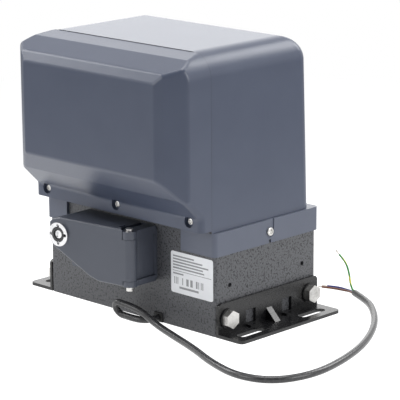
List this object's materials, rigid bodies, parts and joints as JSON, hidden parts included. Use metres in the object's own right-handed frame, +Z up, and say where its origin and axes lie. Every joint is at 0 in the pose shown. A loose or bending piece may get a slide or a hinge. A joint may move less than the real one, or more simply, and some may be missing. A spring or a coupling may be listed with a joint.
{
  "type": "sliding gate motor",
  "caption": "Sliding gate motor with moulded hood, keyed release lever, worm drive, rack pinion and slotted foot brackets.",
  "frame": {"origin": "centre of the casing's footprint, on the floor", "axes": "+X to the right seen from the release lever side, +Y back towards the gate and pinion, +Z up"},
  "size_m": [0.4466, 0.3071, 0.296],
  "materials": {
    "hood_plastic": "semi-gloss moulded",
    "collar_plastic": "satin moulded",
    "lever_plastic": "satin moulded",
    "casing_black": "hammer-finish powder coat",
    "bracket_black": "satin black coat",
    "zinc_steel": "zinc plated",
    "bright_chrome": "polished",
    "gear_steel": "machined steel",
    "bronze": "machined bronze",
    "cast_aluminium": "cast",
    "iron_stack": "laminated",
    "copper": "enamelled copper",
    "label_white": "bare printed film",
    "cord_black": "matt jacket",
    "core_brown": "insulation",
    "core_blue": "insulation",
    "core_green_yellow": "insulation",
    "seal_rubber": "moulded",
    "board_green": "solder mask",
    "component_grey": "moulded",
    "terminal_green": "moulded"
  },
  "bodies": {
    "body": {"gearbox_casing": "casing_black", "bottom_plate": "casing_black", "gearbox_lid": "cast_aluminium", "foot_bracket_right": "bracket_black", "foot_bracket_left": "bracket_black", "foot_bolts": "zinc_steel", "foot_washers": "zinc_steel", "foot_nuts": "zinc_steel", "collar_frame": "collar_plastic", "collar_screws": "zinc_steel", "chassis_tray": "component_grey", "hood": "hood_plastic", "front_cover": "hood_plastic", "front_cover_screws": "zinc_steel", "release_housing": "lever_plastic", "hinge_pin": "zinc_steel", "output_bearing_inner": "gear_steel", "output_bearing_outer": "gear_steel", "shaft_seal": "seal_rubber", "motor_flange": "cast_aluminium", "motor_housing": "cast_aluminium", "stator_core": "iron_stack", "stator_windings": "copper", "motor_end_shield": "cast_aluminium", "motor_bearing_lower": "gear_steel", "motor_bearing_upper": "gear_steel", "worm_bearing": "gear_steel", "control_board": "board_green", "board_standoffs": "component_grey", "transformer": "iron_stack", "relays": "component_grey", "terminal_block": "terminal_green", "run_capacitor": "component_grey", "rating_label": "label_white", "mains_cable": "cord_black", "core_brown": "core_brown", "core_blue": "core_blue", "core_green_yellow": "core_green_yellow", "cable_grommet": "seal_rubber", "cable_clamp": "component_grey"},
    "lever": {"release_lever": "lever_plastic", "lock_bezel": "bright_chrome"},
    "lock": {"lock_plug": "bright_chrome", "lock_cam": "zinc_steel"},
    "rod": {"release_rod": "gear_steel"},
    "clutch": {"clutch_sleeve": "gear_steel"},
    "output": {"output_shaft": "gear_steel", "worm_wheel": "bronze", "output_pinion": "gear_steel", "pinion_key": "gear_steel", "pinion_washer": "zinc_steel", "pinion_bolt": "zinc_steel"},
    "rotor": {"rotor_shaft": "gear_steel", "rotor_core": "iron_stack"}
  },
  "joints": [
    {"name": "lever_hinge", "type": "hinge", "parent": "body", "child": "lever", "pos_m": [0.035, -0.112, 0.0736], "axis": [0, 0, 1], "range_deg": [0, 90]},
    {"name": "lock_turn", "type": "hinge", "parent": "lever", "child": "lock", "pos_m": [-0.0523, -0.13036, 0.0886], "axis": [0.1201, -0.9928, 0], "range_deg": [0, 90]},
    {"name": "rod_slide", "type": "slide", "parent": "body", "child": "rod", "axis": [0, 1, 0], "range_m": [-0.0061, 0]},
    {"name": "clutch_slide", "type": "slide", "parent": "output", "child": "clutch", "axis": [0, 1, 0], "range_m": [-0.0061, 0]},
    {"name": "output_turn", "type": "hinge", "parent": "body", "child": "output", "pos_m": [0, 0.05, 0.062], "axis": [0, 1, 0], "continuous": true},
    {"name": "rotor_turn", "type": "hinge", "parent": "body", "child": "rotor", "pos_m": [-0.04, 0, 0.1], "axis": [0, 0, 1], "continuous": true}
  ],
  "couplings": [
    {"joint": "rod_slide", "follows": "lever_hinge", "m_per_rad": -0.0038197},
    {"joint": "clutch_slide", "follows": "lever_hinge", "m_per_rad": -0.0038197},
    {"joint": "rotor_turn", "follows": "output_turn", "ratio": -30}
  ]
}
